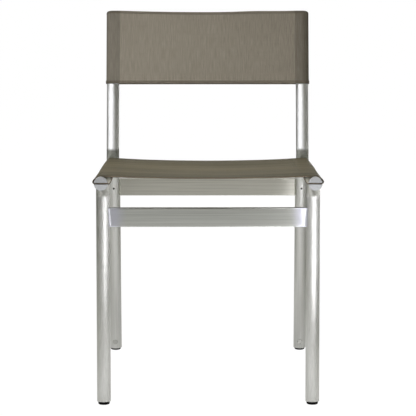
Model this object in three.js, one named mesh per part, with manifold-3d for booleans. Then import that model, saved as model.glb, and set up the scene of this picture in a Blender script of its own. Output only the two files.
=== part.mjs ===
// Sling patio chair: two tube side frames joined by flat bars, a seat sling clamped in split rails,
// and a back sling pulled over both uprights. Millimetres, +Z up, the front faces -Y.
import * as THREE from "three";
import * as BufferGeometryUtils from "three/addons/utils/BufferGeometryUtils.js";
import Module from "manifold-3d";

const wasm = await Module();
wasm.setup();

// Driving dimensions of the whole chair
const frameSpacing = 425; // between the centre planes of the two side frames
const tubeRadius = 14; // all round tubes, and the split seat rails
const tubeWall = 2;
const weldGap = 0.3; // left between pieces that the real chair has welded or pressed together
const cutOverrun = 20; // how far a cutting body runs past what it cuts
const mergeDistance = 0.001; // points closer than this are one
const tubeSides = 48; // facets round a tube
const plugSides = 32;
const plugEdgeSteps = 4;

// Seat rails
const railFrontHeight = 458; // rail axis above the floor at the front face
const railLength = 490;
const railSlope = THREE.MathUtils.degToRad(2.7); // down towards the back
const slitHeight = 3.4; // between the lower rail and the clamp bar
const railSolidLength = 75; // rear end of the rail, behind the slit
const railChamfer = 0.8;

// Legs
const frontLegSetback = 69; // along the rail, front face to leg axis
const frontLegLean = THREE.MathUtils.degToRad(5); // foot forward
const rearLegInset = 17; // along the rail, leg axis to rear end
const rearLegLean = THREE.MathUtils.degToRad(1.2); // foot backward

// Back uprights
const uprightInset = 55; // along the rail, upright axis to rear end
const uprightLean = THREE.MathUtils.degToRad(14);
const uprightLength = 340.5; // from the rail axis to the tube's upper end
const capHeight = 5; // domed plug standing above the tube's end
const capEdgeRadius = 4;
const plugDepth = 18; // how deep caps and glides reach into their tubes
const plugGap = 0.3;

// Foot glides
const glideHeight = 4.5; // sole below the tube's end
const glideEdgeRadius = 3;

// Fillets of the ground welds in front of and behind a tube
const filletOnTube = 18; // how far a fillet reaches along the leg or upright
const filletOnRail = 18;
const filletAtSlit = 8; // the same before an upright, where the rail is split
const filletSteps = 5;
const filletSkipSteps = 2; // facets at each side of the tube that the fillet leaves out

// Flat cross bars
const barHeight = 39;
const barThickness = 12;
const barWall = 2;
const barEdgeRadius = 2;
const barInnerRadius = 0.5;
const barEdgeSteps = 4;
const barDrop = 58; // upper edges of both bars below the rails' front ends

// Slings
const slingThickness = 1.2;
const slingGap = 0.35; // between a sling and what it wraps
const seatFrontSetback = 2.5; // seat sling's front edge behind the rail's front face
const seatRearSetback = 0.5; // and its rear edge before the end of the slit
const seatSagFront = 3;
const seatSagMiddle = 6;
const seatSagRear = 4.5;
const seatSeamInset = 25; // where the sleeve is sewn to the panel, from the rail axis
const sleeveBulge = 2.6; // how far the front of the sleeve stands off the rail's side
const sleeveRearSwell = 4.4; // how far the rear of the sleeve's shoulder stands off
const looseShare = 0.3; // of the depth, over which the sleeve's side draws close to the rail
const sleeveDrawShare = 0.9; // of the bulge, taken up where the sleeve lies close
const seatSteps = 8;
const panelSteps = 14;
const sleeveSteps = 10;
const sleeveTurnSteps = 4;
const sleeveTurnShare = 1.6; // of the slit's angle, where the sleeve turns in
const returnInShares = [0.08, 0.32]; // the sleeve's way back from the slit to the seam, inwards
const returnUpShares = [0.45, 0.8]; // and upwards
const backSlingHeight = 164;
const backHem = 7; // height of the folded hems
const backHemStep = 0.8; // extra thickness of the hems
const backTopSag = 3;
const backTurnSteps = 12;
const backEdgeSteps = 4;
const backPanelDraw = 2; // how far each back panel is drawn in between the uprights

// Fasteners
const clampScrewRadius = 2.5;
const clampHeadRadius = 4.2;
const clampHeadHeight = 5;
const clampHexRadius = 2.3;
const clampHexDepth = 2.6;
const clampScrewGap = 0.3;
const clampScrewShares = [0.05, 0.5, 0.9]; // along the slit
const clampScrewReach = 7; // into the clamp bar above the slit
const barScrewRadius = 2.2;
const barScrewLength = 6;
const barScrewDrop = 2; // below the middle of the bar
const barScrewStand = 0.6;
const pinRadius = 5.5;
const pinHeight = 20;
const pinStand = 0.4;
const fastenerSides = 16;
const hexSides = 6;

// Places that follow from the sizes above
const slitLength = railLength - railSolidLength;
const rearLegSetback = railLength - rearLegInset;
const uprightSetback = railLength - uprightInset;
const seatDepth = slitLength - seatFrontSetback - seatRearSetback;
const barMiddle = railFrontHeight - barDrop - barHeight / 2;
const barScrewHeight = barMiddle - barScrewDrop;

const finishes = {
  brushed: { color: 0xc3c4c0, roughness: 0.34, metalness: 1 },
  barBrushed: { color: 0xb9bbb9, roughness: 0.38, metalness: 1 },
  sling: { color: 0x7a7466, roughness: 0.85, metalness: 0 },
  plastic: { color: 0x1d1d1d, roughness: 0.6, metalness: 0 },
  screw: { color: 0x77787a, roughness: 0.4, metalness: 1 },
};

// Turn a closed geometry into a solid, and back.
function solidOf(geometry) {
  const bare = geometry.index ? geometry.toNonIndexed() : geometry.clone();
  bare.deleteAttribute("normal");
  bare.deleteAttribute("uv");
  const merged = BufferGeometryUtils.mergeVertices(bare, mergeDistance);
  return new wasm.Manifold(new wasm.Mesh({
    numProp: 3,
    vertProperties: new Float32Array(merged.attributes.position.array),
    triVerts: new Uint32Array(merged.index.array),
  }));
}

function geometryOf(solid) {
  const mesh = solid.getMesh();
  const geometry = new THREE.BufferGeometry();
  geometry.setAttribute("position", new THREE.BufferAttribute(mesh.vertProperties, 3));
  geometry.setIndex(new THREE.BufferAttribute(mesh.triVerts, 1));
  geometry.computeVertexNormals();
  return geometry;
}

// Basic shapes. A rod stands on the origin, and alongY draws a profile out from it.
function rod(radius, length, sides = tubeSides) {
  return new THREE.CylinderGeometry(radius, radius, length, sides)
    .rotateX(Math.PI / 2).translate(0, 0, length / 2);
}

function alongY(shape, length, curveSegments, steps = 1) {
  const settings = { depth: length, bevelEnabled: false, curveSegments, steps };
  return new THREE.ExtrudeGeometry(shape, settings).rotateX(Math.PI / 2).translate(0, length, 0);
}

function block(width, depth, height) {
  return new THREE.BoxGeometry(width, depth, height);
}

function turned(points, sides = tubeSides) {
  return new THREE.LatheGeometry(points, sides).rotateX(Math.PI / 2);
}

// Frames that carry pieces: a group with a place and a turn about X.
function frameAt(parent, x, y, z, turn) {
  const frame = new THREE.Group();
  frame.position.set(x, y, z);
  frame.rotation.x = turn;
  parent.add(frame);
  frame.updateWorldMatrix(true, false);
  return frame;
}

// A geometry made in one frame, seen from another.
function seenFrom(target, source, geometry) {
  const shift = target.matrixWorld.clone().invert().multiply(source.matrixWorld);
  return geometry.clone().applyMatrix4(shift);
}

function addPiece(frame, name, geometry, finish) {
  const mesh = new THREE.Mesh(geometry, new THREE.MeshStandardMaterial(finishes[finish]));
  mesh.name = name;
  frame.add(mesh);
  return mesh;
}

// One side frame's set of carrying frames. The rail frame runs from the front face along +Y.
function sideFrames(chair, side) {
  const x = side * frameSpacing / 2;
  const rail = frameAt(chair, x, 0, railFrontHeight, -railSlope);
  const onRail = (setback) => ({
    y: setback * Math.cos(railSlope),
    z: railFrontHeight - setback * Math.sin(railSlope),
  });
  const front = onRail(frontLegSetback);
  const rear = onRail(rearLegSetback);
  const back = onRail(uprightSetback);
  // Leg frames stand on the floor, their Z axis up along the leg.
  const frontLeg = frameAt(chair, x, front.y - front.z * Math.tan(frontLegLean), 0, -frontLegLean);
  const rearLeg = frameAt(chair, x, rear.y + rear.z * Math.tan(rearLegLean), 0, rearLegLean);
  const upright = frameAt(chair, x, back.y, back.z, -uprightLean);
  return {
    rail, frontLeg, rearLeg, upright,
    frontLegLength: front.z / Math.cos(frontLegLean),
    rearLegLength: rear.z / Math.cos(rearLegLean),
  };
}

// Round bar with chamfered ends, from which both halves of a rail are cut.
function chamferedBar(length) {
  return turned([
    new THREE.Vector2(0, 0),
    new THREE.Vector2(tubeRadius - railChamfer, 0),
    new THREE.Vector2(tubeRadius, railChamfer),
    new THREE.Vector2(tubeRadius, length - railChamfer),
    new THREE.Vector2(tubeRadius - railChamfer, length),
    new THREE.Vector2(0, length),
  ]).rotateX(-Math.PI / 2);
}

function clampScrewSetbacks() {
  return clampScrewShares.map((share) => share * slitLength);
}

// Cylinders along the rail's Z axis at each clamp screw, from one height to another.
function screwColumns(radius, low, high, sides = fastenerSides) {
  return clampScrewSetbacks().map((setback) =>
    solidOf(rod(radius, high - low, sides).translate(0, setback, low)));
}

// Lower half of the rail, whole again behind the slit, where the upright and the rear leg stand.
function railLower() {
  const width = 2 * tubeRadius + cutOverrun;
  const upperHeight = tubeRadius + slitHeight / 2 + cutOverrun;
  const upper = block(width, slitLength + cutOverrun, upperHeight)
    .translate(0, (slitLength - cutOverrun) / 2, upperHeight / 2 - slitHeight / 2);
  let solid = solidOf(chamferedBar(railLength)).subtract(solidOf(upper));
  const headFloor = clampHeadHeight - tubeRadius + clampScrewGap;
  for (const hole of screwColumns(clampScrewRadius + clampScrewGap, headFloor - cutOverrun, tubeRadius)) {
    solid = solid.subtract(hole);
  }
  for (const hole of screwColumns(clampHeadRadius + clampScrewGap, -tubeRadius - cutOverrun, headFloor)) {
    solid = solid.subtract(hole);
  }
  return geometryOf(solid);
}

// Upper half bar, which the seat sling's sleeve slides over.
function clampBar() {
  const width = 2 * tubeRadius + cutOverrun;
  const lowerHeight = tubeRadius + slitHeight / 2 + cutOverrun;
  const lower = block(width, railLength, lowerHeight)
    .translate(0, railLength / 2 - cutOverrun, slitHeight / 2 - lowerHeight / 2);
  let solid = solidOf(chamferedBar(slitLength - weldGap)).subtract(solidOf(lower));
  const reach = slitHeight / 2 + clampScrewReach + clampScrewGap;
  for (const hole of screwColumns(clampScrewRadius + clampScrewGap, 0, reach)) {
    solid = solid.subtract(hole);
  }
  return geometryOf(solid);
}

// Socket screw that pulls the clamp bar down on the sling.
function clampScrew(setback) {
  const headTop = clampHeadHeight - tubeRadius;
  const column = (radius, low, high, sides = fastenerSides) =>
    solidOf(rod(radius, high - low, sides).translate(0, setback, low));
  const head = column(clampHeadRadius, -tubeRadius, headTop);
  const shank = column(clampScrewRadius, clampHexDepth - tubeRadius, slitHeight / 2 + clampScrewReach);
  const socket = column(clampHexRadius, -tubeRadius - cutOverrun, clampHexDepth - tubeRadius, hexSides);
  return geometryOf(head.add(shank).subtract(socket));
}

// Open tube along Z between two heights.
function openTube(low, high) {
  const bore = rod(tubeRadius - tubeWall, high - low + 2 * cutOverrun).translate(0, 0, low - cutOverrun);
  return solidOf(rod(tubeRadius, high - low).translate(0, 0, low)).subtract(solidOf(bore));
}

// The rail's outline as a cutter, seen from a leg or an upright.
function railCutter(frames, target) {
  const cutter = rod(tubeRadius + weldGap, railLength + 2 * cutOverrun)
    .rotateX(-Math.PI / 2).translate(0, -cutOverrun, 0);
  return solidOf(seenFrom(target, frames.rail, cutter));
}

function tubeEndHeight(lean) {
  return (glideHeight + (tubeRadius - tubeWall) * Math.tan(lean)) / Math.cos(lean);
}

// Fillet between a tube and the rail that it meets at a height. It is drawn in the tube's frame,
// one slice for each facet edge, and dies away towards the tube's sides. side is 1 behind the tube
// and -1 before it, up is 1 above the rail and -1 below.
function jointFillet(tilt, height, side, up, onTube, onRail) {
  const slices = [];
  const sunk = tubeWall / 2;
  for (let i = filletSkipSteps; i <= tubeSides / 2 - filletSkipSteps; i++) {
    const angle = 2 * Math.PI * i / tubeSides;
    const x = tubeRadius * Math.cos(angle);
    const depth = tubeRadius * Math.sin(angle);
    const share = Math.sin(angle);
    const along = (side * depth + up * depth * Math.sin(tilt)) / Math.cos(tilt);
    const cornerZ = height + along * Math.sin(tilt) + up * depth * Math.cos(tilt);
    // From the corner of both surfaces, this far along the tube and this far along the rail.
    const place = (tubeReach, railReach) => new THREE.Vector3(
      x,
      side * depth + side * railReach * Math.cos(tilt),
      cornerZ + up * tubeReach + side * railReach * Math.sin(tilt),
    );
    const ring = [place(-sunk, -sunk)];
    ring.push(place(onTube * share, -sunk));
    for (let k = 0; k <= filletSteps; k++) {
      const turn = k / filletSteps * Math.PI / 2;
      ring.push(place(onTube * share * (1 - Math.sin(turn)), onRail * share * (1 - Math.cos(turn))));
    }
    ring.push(place(-sunk, onRail * share));
    slices.push(side * up > 0 ? ring : ring.reverse());
  }
  return solidOf(loft(slices));
}

// Closed skin over rings of points, each end a fan.
function loft(rings) {
  const corners = [];
  const count = rings[0].length;
  for (let i = 0; i + 1 < rings.length; i++) {
    for (let k = 0; k < count; k++) {
      const next = (k + 1) % count;
      const [a, b, c, d] = [rings[i][k], rings[i][next], rings[i + 1][next], rings[i + 1][k]];
      corners.push(a, b, c, a, c, d);
    }
  }
  const last = rings[rings.length - 1];
  for (let k = 1; k + 1 < count; k++) {
    corners.push(rings[0][0], rings[0][k + 1], rings[0][k]);
    corners.push(last[0], last[k], last[k + 1]);
  }
  return new THREE.BufferGeometry().setFromPoints(corners);
}

function leg(frames, target, lean, length, holes, filletSides) {
  let solid = openTube(tubeEndHeight(lean), length);
  for (const side of filletSides) {
    const tilt = frames.rail.rotation.x - target.rotation.x;
    solid = solid.add(jointFillet(tilt, length, side, -1, filletOnTube, filletOnRail));
  }
  solid = solid.subtract(railCutter(frames, target));
  for (const hole of holes) solid = solid.subtract(hole);
  return geometryOf(solid);
}

function upright(frames) {
  const tilt = frames.rail.rotation.x - frames.upright.rotation.x;
  const front = jointFillet(tilt, 0, -1, 1, filletOnTube, filletAtSlit);
  const rear = jointFillet(tilt, 0, 1, 1, filletOnTube, filletOnRail);
  const solid = openTube(0, uprightLength).add(front).add(rear);
  return geometryOf(solid.subtract(railCutter(frames, frames.upright)));
}

// Plug with a domed head: the head's underside lies at height zero, its stem hangs below.
function plugProfile(headRadius, headHeight, edgeRadius) {
  const stemRadius = tubeRadius - tubeWall - plugGap;
  const points = [new THREE.Vector2(0, -plugDepth), new THREE.Vector2(stemRadius, -plugDepth)];
  if (headRadius > stemRadius) {
    points.push(new THREE.Vector2(stemRadius, 0), new THREE.Vector2(headRadius, 0));
  }
  for (let i = 0; i <= plugEdgeSteps; i++) {
    const angle = i / plugEdgeSteps * Math.PI / 2;
    points.push(new THREE.Vector2(
      headRadius - edgeRadius + edgeRadius * Math.cos(angle),
      headHeight - edgeRadius + edgeRadius * Math.sin(angle),
    ));
  }
  points.push(new THREE.Vector2(0, headHeight));
  return points;
}

function uprightCap() {
  return turned(plugProfile(tubeRadius, capHeight, capEdgeRadius), plugSides);
}

// Glide with its sole cut level with the floor.
function footGlide(chair, target, lean) {
  const end = tubeEndHeight(lean);
  const headHeight = end + (tubeRadius - tubeWall) * Math.tan(lean);
  const plug = turned(plugProfile(tubeRadius - tubeWall - plugGap, headHeight, glideEdgeRadius), plugSides)
    .rotateX(Math.PI).translate(0, 0, end);
  const reach = 2 * (2 * tubeRadius + cutOverrun);
  const floor = block(reach, reach, reach)
    .translate(target.position.x, target.position.y, -reach / 2);
  return geometryOf(solidOf(plug).subtract(solidOf(seenFrom(target, chair, floor))));
}

// Hollow bar between two legs, its ends shaped to the round tubes.
function crossBar(barFrame, legFrames) {
  const rounded = (width, height, radius) => {
    const shape = new THREE.Shape();
    const w = width / 2;
    const h = height / 2;
    shape.moveTo(-w + radius, -h);
    shape.lineTo(w - radius, -h);
    shape.absarc(w - radius, -h + radius, radius, -Math.PI / 2, 0);
    shape.lineTo(w, h - radius);
    shape.absarc(w - radius, h - radius, radius, 0, Math.PI / 2);
    shape.lineTo(-w + radius, h);
    shape.absarc(-w + radius, h - radius, radius, Math.PI / 2, Math.PI);
    shape.lineTo(-w, -h + radius);
    shape.absarc(-w + radius, -h + radius, radius, Math.PI, Math.PI * 3 / 2);
    return shape;
  };
  const profile = rounded(barThickness, barHeight, barEdgeRadius);
  profile.holes.push(rounded(barThickness - 2 * barWall, barHeight - 2 * barWall, barInnerRadius));
  const bar = alongY(profile, frameSpacing, barEdgeSteps)
    .translate(0, -frameSpacing / 2, 0).rotateZ(-Math.PI / 2);
  let solid = solidOf(bar);
  for (const legFrame of legFrames) {
    const cutter = rod(tubeRadius + weldGap, railFrontHeight);
    solid = solid.subtract(solidOf(seenFrom(barFrame, legFrame, cutter)));
  }
  return geometryOf(solid);
}

// Height and y place of a bar's frame on a leg's axis.
function barPlace(legFrame, lean) {
  const z = barMiddle;
  return { y: legFrame.position.y + Math.sign(-legFrame.rotation.x) * z * Math.tan(lean), z };
}

// Round hole through a leg's front wall at a height along the leg.
function frontWallHole(radius, height) {
  const depth = tubeRadius / 2 + cutOverrun;
  return solidOf(rod(radius, depth, fastenerSides).rotateX(-Math.PI / 2)
    .translate(0, -tubeRadius - cutOverrun, height));
}

// Small screw in the rear leg's front wall, level with the rear bar.
function barScrew() {
  return rod(barScrewRadius, barScrewLength, fastenerSides).rotateX(-Math.PI / 2)
    .translate(0, -tubeRadius - barScrewStand, barScrewHeight);
}

// Round pin through the rear leg's front wall, which holds the foot glide.
function glidePin() {
  return rod(pinRadius, tubeWall + pinStand, fastenerSides).rotateX(-Math.PI / 2)
    .translate(0, -tubeRadius - pinStand, pinHeight);
}

// Seat sling. Its section is drawn round both clamp bars and carried along the rails.
function sleeveOuterPoint(radius, angle, bulge) {
  const swell = bulge * Math.max(0, Math.cos(angle)) ** 2;
  return new THREE.Vector2((radius + swell) * Math.cos(angle), radius * Math.sin(angle));
}

// Points of the loop round a clamp bar at the right, x outwards, from the panel over the top,
// round the outside, in through the slit and up to the seam. offset is the way out of the loop.
function sleeveLoop(offset, bulge) {
  const radius = tubeRadius + slingGap + offset;
  const loop = [];
  const lowest = slitHeight / 2 - slingGap - offset;
  const endAngle = Math.asin(slitHeight / 2 / tubeRadius) * sleeveTurnShare;
  for (let i = 0; i <= sleeveSteps; i++) {
    const angle = Math.PI / 2 + (endAngle - Math.PI / 2) * i / sleeveSteps;
    loop.push(sleeveOuterPoint(radius, angle, bulge));
  }
  const corner = loop[loop.length - 1];
  for (let i = 1; i <= sleeveTurnSteps; i++) {
    const angle = i / sleeveTurnSteps * Math.PI / 2;
    loop.push(new THREE.Vector2(
      corner.x - (corner.y - lowest) * (1 - Math.cos(angle)),
      corner.y - (corner.y - lowest) * Math.sin(angle),
    ));
  }
  const start = new THREE.Vector2(-tubeRadius - slingGap - offset / 2, lowest);
  const seam = new THREE.Vector2(-seatSeamInset - offset, tubeRadius + slingGap);
  const back = returnInShares.map((share, i) => new THREE.Vector2(
    start.x + (seam.x - start.x) * share,
    start.y + (seam.y - start.y) * returnUpShares[i],
  ));
  loop.push(start, ...back, seam);
  return loop;
}

// Share of the full sag at a distance from the middle.
function sagShare(x) {
  return Math.max(0, 1 - (x / (frameSpacing / 2 - tubeRadius)) ** 2);
}

function seatSection(bulge) {
  const half = frameSpacing / 2;
  const sagged = (x, y) => new THREE.Vector2(x, y - seatSagFront * sagShare(x));
  const top = tubeRadius + slingGap + slingThickness;
  const under = tubeRadius + slingGap;
  const shape = new THREE.Shape();
  const outer = sleeveLoop(slingThickness, bulge);
  const right = outer.map((p) => sagged(half + p.x, p.y));
  const inset = half - seatSeamInset - slingThickness;
  const points = [];
  for (let i = 1; i < panelSteps; i++) {
    points.push(sagged(-half + 2 * half * i / panelSteps, top));
  }
  points.push(...right);
  for (let i = 1; i < panelSteps; i++) {
    points.push(sagged(inset - 2 * inset * i / panelSteps, under));
  }
  points.push(...right.map((p) => new THREE.Vector2(-p.x, p.y)).reverse());
  shape.setFromPoints(points.reverse());
  const inner = sleeveLoop(0, bulge);
  for (const side of [1, -1]) {
    const hole = inner.map((p) => sagged(side * (half + p.x), p.y));
    shape.holes.push(new THREE.Path(hole));
  }
  return shape;
}

// Sag between the rails at a share of the seat's depth.
function seatSag(share) {
  const middle = 4 * share * (1 - share);
  return seatSagFront * (1 - share) + seatSagRear * share
    + (seatSagMiddle - (seatSagFront + seatSagRear) / 2) * middle;
}

function seatSling() {
  const shape = seatSection(sleeveBulge);
  const geometry = alongY(shape, seatDepth, sleeveSteps, seatSteps);
  const place = geometry.attributes.position;
  const half = frameSpacing / 2;
  const widest = tubeRadius + slingGap + sleeveBulge;
  for (let i = 0; i < place.count; i++) {
    const share = place.getY(i) / seatDepth;
    const x = place.getX(i);
    place.setZ(i, place.getZ(i) - (seatSag(share) - seatSagFront) * sagShare(x));
    // The sleeve stands off the rail at the front edge and lies close to it further back.
    const outward = Math.min(1, Math.max(0, Math.abs(x) - half) / widest) ** 3;
    const drawn = sleeveBulge * sleeveDrawShare * Math.min(1, share / looseShare) * outward;
    // Its shoulder, between the top and the side, stands off more and more towards the rear.
    const angle = Math.atan2(place.getZ(i), Math.abs(x) - half);
    const shoulder = Math.max(0, Math.sin(2 * angle)) ** 2 * (Math.abs(x) > half ? 1 : 0);
    const swell = sleeveRearSwell * share ** 2 * shoulder;
    place.setX(i, x + Math.sign(x) * (swell * Math.cos(angle) - drawn));
    place.setZ(i, place.getZ(i) + swell * Math.sin(angle));
    place.setY(i, place.getY(i) + seatFrontSetback);
  }
  let solid = solidOf(geometry);
  for (const side of [1, -1]) {
    for (const hole of screwColumns(clampScrewRadius + clampScrewGap, -slitHeight, slitHeight)) {
      solid = solid.subtract(hole.translate([side * half, 0, 0]));
    }
  }
  return geometryOf(solid);
}

// Outline round both uprights, its two panels drawn in a little between them.
function aroundUprights(radius) {
  const half = frameSpacing / 2;
  const points = [];
  for (const side of [1, -1]) {
    for (let i = 0; i <= backTurnSteps; i++) {
      const angle = -side * Math.PI / 2 + Math.PI * i / backTurnSteps;
      points.push(new THREE.Vector2(side * half + radius * Math.cos(angle), radius * Math.sin(angle)));
    }
    for (let i = 1; i < panelSteps; i++) {
      const x = side * (half - 2 * half * i / panelSteps);
      points.push(new THREE.Vector2(x, side * (radius - backPanelDraw * sagShare(x))));
    }
  }
  return new THREE.Shape(points);
}

// Closed bag over both uprights with a rounded, slightly sagging top edge.
function bag(radius, bottom, top, edge) {
  const geometry = new THREE.ExtrudeGeometry(aroundUprights(radius), {
    depth: top - bottom - 2 * edge,
    bevelThickness: edge, bevelSize: edge, bevelOffset: -edge, bevelSegments: backEdgeSteps,
  }).translate(0, 0, bottom + edge);
  const place = geometry.attributes.position;
  for (let i = 0; i < place.count; i++) {
    const upper = place.getZ(i) > (top + bottom) / 2 ? 1 : 0;
    place.setZ(i, place.getZ(i) - backTopSag * sagShare(place.getX(i)) * upper);
  }
  return solidOf(geometry);
}

// Back sling: one bag of fabric, open below, with a folded hem round its mouth.
function backSling() {
  const innerRadius = tubeRadius + slingGap;
  const innerTop = uprightLength + capHeight + slingGap;
  const outerTop = innerTop + slingThickness;
  const bottom = outerTop - backSlingHeight;
  const reach = frameSpacing + 4 * tubeRadius;
  const below = block(reach, reach, cutOverrun).translate(0, 0, bottom - cutOverrun / 2);
  const above = block(reach, reach, backSlingHeight).translate(0, 0, bottom + backHem + backSlingHeight / 2);
  const outerRadius = innerRadius + slingThickness;
  const outer = bag(outerRadius, bottom - cutOverrun / 2, outerTop, capEdgeRadius);
  const hem = bag(outerRadius + backHemStep, bottom - cutOverrun / 2, outerTop, capEdgeRadius);
  const inner = bag(innerRadius, bottom - cutOverrun, innerTop, capEdgeRadius - slingThickness);
  return geometryOf(outer.add(hem.subtract(solidOf(above))).subtract(solidOf(below)).subtract(inner));
}

const chair = new THREE.Group();
chair.updateMatrixWorld(true);
const sides = [[-1, "left"], [1, "right"]];
const frameSets = sides.map(([side]) => sideFrames(chair, side));

sides.forEach(([, word], i) => {
  const frames = frameSets[i];
  addPiece(frames.rail, `seat_rail_${word}`, railLower(), "brushed");
  addPiece(frames.rail, `clamp_bar_${word}`, clampBar(), "brushed");
  clampScrewSetbacks().forEach((setback, n) => {
    addPiece(frames.rail, `clamp_screw_${word}_${n + 1}`, clampScrew(setback), "screw");
  });
  addPiece(frames.frontLeg, `front_leg_${word}`,
    leg(frames, frames.frontLeg, frontLegLean, frames.frontLegLength, [], [-1, 1]), "brushed");
  const rearHoles = [
    frontWallHole(barScrewRadius + clampScrewGap, barScrewHeight),
    frontWallHole(pinRadius + clampScrewGap, pinHeight),
  ];
  addPiece(frames.rearLeg, `rear_leg_${word}`,
    leg(frames, frames.rearLeg, rearLegLean, frames.rearLegLength, rearHoles, [-1]), "brushed");
  addPiece(frames.frontLeg, `front_glide_${word}`,
    footGlide(chair, frames.frontLeg, frontLegLean), "plastic");
  addPiece(frames.rearLeg, `rear_glide_${word}`,
    footGlide(chair, frames.rearLeg, rearLegLean), "plastic");
  addPiece(frames.rearLeg, `rear_bar_screw_${word}`, barScrew(), "screw");
  addPiece(frames.rearLeg, `rear_glide_pin_${word}`, glidePin(), "brushed");
  addPiece(frames.upright, `back_upright_${word}`, upright(frames), "brushed");
  addPiece(frames.upright, `upright_cap_${word}`, uprightCap().translate(0, 0, uprightLength), "plastic");
});

for (const [name, legName, lean] of [
  ["front_bar", "frontLeg", frontLegLean],
  ["rear_bar", "rearLeg", rearLegLean],
]) {
  const place = barPlace(frameSets[0][legName], lean);
  const barFrame = frameAt(chair, 0, place.y, place.z, 0);
  addPiece(barFrame, name, crossBar(barFrame, frameSets.map((set) => set[legName])), "barBrushed");
}

const seatFrame = frameAt(chair, 0, 0, railFrontHeight, -railSlope);
addPiece(seatFrame, "seat_sling", seatSling(), "sling");
const backPlace = frameSets[0].upright.position;
const backFrame = frameAt(chair, 0, backPlace.y, backPlace.z, -uprightLean);
addPiece(backFrame, "back_sling", backSling(), "sling");

// The origin is the middle of the chair's box, on the floor.
const box = new THREE.Box3().setFromObject(chair, true);
const middle = box.getCenter(new THREE.Vector3());
chair.position.set(-middle.x, -middle.y, -box.min.z);

export default chair;
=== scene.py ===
import math

import bmesh
import bpy
from mathutils import Matrix, Vector


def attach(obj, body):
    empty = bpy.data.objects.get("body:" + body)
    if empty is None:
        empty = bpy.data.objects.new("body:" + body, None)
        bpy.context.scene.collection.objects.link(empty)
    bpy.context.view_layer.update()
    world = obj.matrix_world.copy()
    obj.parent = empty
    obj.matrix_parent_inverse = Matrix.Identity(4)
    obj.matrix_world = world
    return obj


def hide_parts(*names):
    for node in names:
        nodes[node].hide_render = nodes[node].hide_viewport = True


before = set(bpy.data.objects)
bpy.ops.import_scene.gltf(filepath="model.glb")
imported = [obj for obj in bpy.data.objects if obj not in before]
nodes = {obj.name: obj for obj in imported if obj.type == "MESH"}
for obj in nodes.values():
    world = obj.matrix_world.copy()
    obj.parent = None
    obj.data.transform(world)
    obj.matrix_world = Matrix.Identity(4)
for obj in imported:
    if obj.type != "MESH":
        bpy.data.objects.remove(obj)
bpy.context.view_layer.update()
print("frame loaded")

# Driving sizes of the chair, in metres and degrees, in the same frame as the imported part
chair = {
    "half": 0.2125,  # from the middle to a side frame
    "tube": 0.014,  # radius of legs, rails and uprights
    "barMiddle": 0.3805,
    "railStart": (0, -0.266025, 0.458),
    "railSlope": 2.7,
    "uprightAlong": 0.435,  # from the rail's start, along the rail
    "uprightLean": 14,
    "frontLegLean": 5,
    "rearLegLean": 1.2,
}


def tilt(degrees):
    return Matrix.Rotation(math.radians(degrees), 4, "X")


seatPlace = Matrix.Translation(chair["railStart"]) @ tilt(-chair["railSlope"])
uprightFoot = seatPlace @ Vector((0, chair["uprightAlong"], 0))
backPlace = Matrix.Translation(uprightFoot) @ tilt(-chair["uprightLean"])


# Camera
view = {
    "place": (-0.0085, -3.4707, 0.9366),
    "down": 9.343,  # degrees
    "right": 0.146,
    "lens": 141.7,
    "sensor": 36,
    "farEnd": 60,
}
cameraData = bpy.data.cameras.new("camera")
cameraData.lens = view["lens"]
cameraData.sensor_width = view["sensor"]
cameraData.clip_end = view["farEnd"]
camera = bpy.data.objects.new("camera", cameraData)
camera.matrix_world = (
    Matrix.Translation(view["place"])
    @ Matrix.Rotation(math.radians(-view["right"]), 4, "Z")
    @ tilt(90 - view["down"])
)
scene = bpy.context.scene
scene.collection.objects.link(camera)
scene.camera = camera
scene.view_settings.view_transform = "Standard"


# Node trees
def feed(slot, item):
    if isinstance(item, Value):
        item = item.socket
    if isinstance(item, bpy.types.NodeSocket):
        slot.id_data.links.new(item, slot)
    else:
        slot.default_value = item


def mathNode(tree, operation, items, clamp=False):
    node = tree.nodes.new("ShaderNodeMath")
    node.operation = operation
    node.use_clamp = clamp
    for slot, item in zip(node.inputs, items):
        feed(slot, item)
    return Value(node.outputs[0])


class Value:  # one socket of a shader tree; sums of Values become Math nodes
    def __init__(self, socket):
        self.socket = socket

    def maths(self, operation, *others, clamp=False):
        return mathNode(self.socket.id_data, operation, (self, *others), clamp)

    def __add__(self, other):
        return self.maths("ADD", other)

    def __sub__(self, other):
        return self.maths("SUBTRACT", other)

    def __rsub__(self, other):
        return mathNode(self.socket.id_data, "SUBTRACT", (other, self))

    def __mul__(self, other):
        return self.maths("MULTIPLY", other)

    def __truediv__(self, other):
        return self.maths("DIVIDE", other)

    def __pow__(self, other):
        return self.maths("POWER", other)

    def __mod__(self, other):
        return self.maths("MODULO", other)

    __radd__ = __add__
    __rmul__ = __mul__


class Tree:
    def __init__(self, tree):
        self.tree = tree

    def node(self, kind, settings=None, inputs=None):
        node = self.tree.nodes.new(kind)
        for name, value in (settings or {}).items():
            setattr(node, name, value)
        for name, item in (inputs or {}).items():
            feed(node.inputs[name], item)
        return node

    def value(self, kind, settings=None, inputs=None, output=0):
        return Value(self.node(kind, settings, inputs).outputs[output])

    def axes(self, place):
        parts = self.node("ShaderNodeSeparateXYZ", {}, {"Vector": place})
        return [Value(socket) for socket in parts.outputs]

    def mixed(self, share, first, second):  # sockets 0, 6 and 7 are a colour mix's factor and colours
        mix = self.node("ShaderNodeMix", {"data_type": "RGBA"}, {0: share, 6: first, 7: second})
        return mix.outputs[2]

    def ranged(self, item, low, high, start, end, kind="LINEAR"):
        return self.value("ShaderNodeMapRange", {"interpolation_type": kind}, {
            "Value": item, "From Min": low, "From Max": high, "To Min": start, "To Max": end,
        })

    def stretched(self, place, scale, turn=(0, 0, 0)):
        return self.value("ShaderNodeMapping", {}, {"Vector": place, "Rotation": turn, "Scale": scale})


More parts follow.
